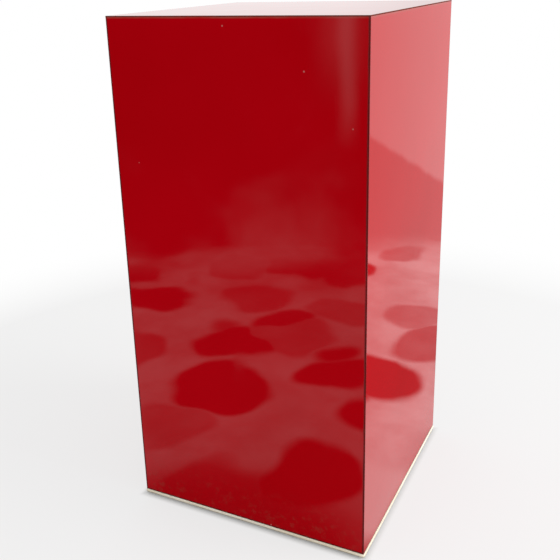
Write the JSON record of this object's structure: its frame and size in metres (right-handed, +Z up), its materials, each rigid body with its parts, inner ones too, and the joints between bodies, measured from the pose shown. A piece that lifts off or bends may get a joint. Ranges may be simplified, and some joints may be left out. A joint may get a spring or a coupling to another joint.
{
  "type": "display pedestal",
  "caption": "Square display pedestal: a closed board box clad in high-gloss laminate, on a pale base plate with screw-out levelling feet.",
  "frame": {"origin": "on the floor, under the middle of the box, with the feet screwed in", "axes": "+Z up, the front faces -Y, +X to the right of someone who looks at the front"},
  "size_m": [0.384, 0.384, 0.7704],
  "materials": {
    "red_laminate": "high-gloss decorative laminate on a dark brown core",
    "particle_board": "raw particle board",
    "softwood": "sawn softwood",
    "base_plate": "cream-white satin sheet with rounded edges",
    "zinc_steel": "zinc plated",
    "foot_steel": "zinc plated, oiled thread",
    "foot_pad": "black nylon"
  },
  "bodies": {
    "pedestal": {"laminate_top": "red_laminate", "laminate_front": "red_laminate", "laminate_back": "red_laminate", "laminate_left": "red_laminate", "laminate_right": "red_laminate", "core_top": "particle_board", "core_front": "particle_board", "core_back": "particle_board", "core_left": "particle_board", "core_right": "particle_board", "top_cleat_front": "softwood", "top_cleat_back": "softwood", "top_cleat_left": "softwood", "top_cleat_right": "softwood", "base_rail_front": "softwood", "base_rail_back": "softwood", "base_rail_left": "softwood", "base_rail_right": "softwood", "corner_batten_front_left": "softwood", "corner_batten_front_right": "softwood", "corner_batten_back_left": "softwood", "corner_batten_back_right": "softwood", "foot_block_front_left": "softwood", "foot_block_front_right": "softwood", "foot_block_back_left": "softwood", "foot_block_back_right": "softwood", "base_plate": "base_plate", "carcass_nails": "zinc_steel", "batten_screws": "zinc_steel", "cleat_screws": "zinc_steel", "rail_screws": "zinc_steel", "block_screws": "zinc_steel", "base_plate_screws": "zinc_steel", "foot_insert_front_left": "zinc_steel", "foot_insert_front_right": "zinc_steel", "foot_insert_back_left": "zinc_steel", "foot_insert_back_right": "zinc_steel"},
    "foot_front_left": {"foot_pad_front_left": "foot_pad"},
    "stem_front_left": {"foot_stem_front_left": "foot_steel"},
    "foot_front_right": {"foot_pad_front_right": "foot_pad"},
    "stem_front_right": {"foot_stem_front_right": "foot_steel"},
    "foot_back_left": {"foot_pad_back_left": "foot_pad"},
    "stem_back_left": {"foot_stem_back_left": "foot_steel"},
    "foot_back_right": {"foot_pad_back_right": "foot_pad"},
    "stem_back_right": {"foot_stem_back_right": "foot_steel"}
  },
  "joints": [
    {"name": "front_left_lift", "type": "slide", "parent": "pedestal", "child": "foot_front_left", "axis": [0, 0, -1], "range_m": [0, 0.01]},
    {"name": "front_left_screw", "type": "hinge", "parent": "foot_front_left", "child": "stem_front_left", "pos_m": [-0.135, -0.135, 0.0125], "axis": [0, 0, -1], "range_deg": [0, 2880]},
    {"name": "front_right_lift", "type": "slide", "parent": "pedestal", "child": "foot_front_right", "axis": [0, 0, -1], "range_m": [0, 0.01]},
    {"name": "front_right_screw", "type": "hinge", "parent": "foot_front_right", "child": "stem_front_right", "pos_m": [0.135, -0.135, 0.0125], "axis": [0, 0, -1], "range_deg": [0, 2880]},
    {"name": "back_left_lift", "type": "slide", "parent": "pedestal", "child": "foot_back_left", "axis": [0, 0, -1], "range_m": [0, 0.01]},
    {"name": "back_left_screw", "type": "hinge", "parent": "foot_back_left", "child": "stem_back_left", "pos_m": [-0.135, 0.135, 0.0125], "axis": [0, 0, -1], "range_deg": [0, 2880]},
    {"name": "back_right_lift", "type": "slide", "parent": "pedestal", "child": "foot_back_right", "axis": [0, 0, -1], "range_m": [0, 0.01]},
    {"name": "back_right_screw", "type": "hinge", "parent": "foot_back_right", "child": "stem_back_right", "pos_m": [0.135, 0.135, 0.0125], "axis": [0, 0, -1], "range_deg": [0, 2880]}
  ],
  "couplings": [
    {"joint": "front_left_screw", "follows": "front_left_lift", "rad_per_m": 5026.5},
    {"joint": "front_right_screw", "follows": "front_right_lift", "rad_per_m": 5026.5},
    {"joint": "back_left_screw", "follows": "back_left_lift", "rad_per_m": 5026.5},
    {"joint": "back_right_screw", "follows": "back_right_lift", "rad_per_m": 5026.5}
  ]
}
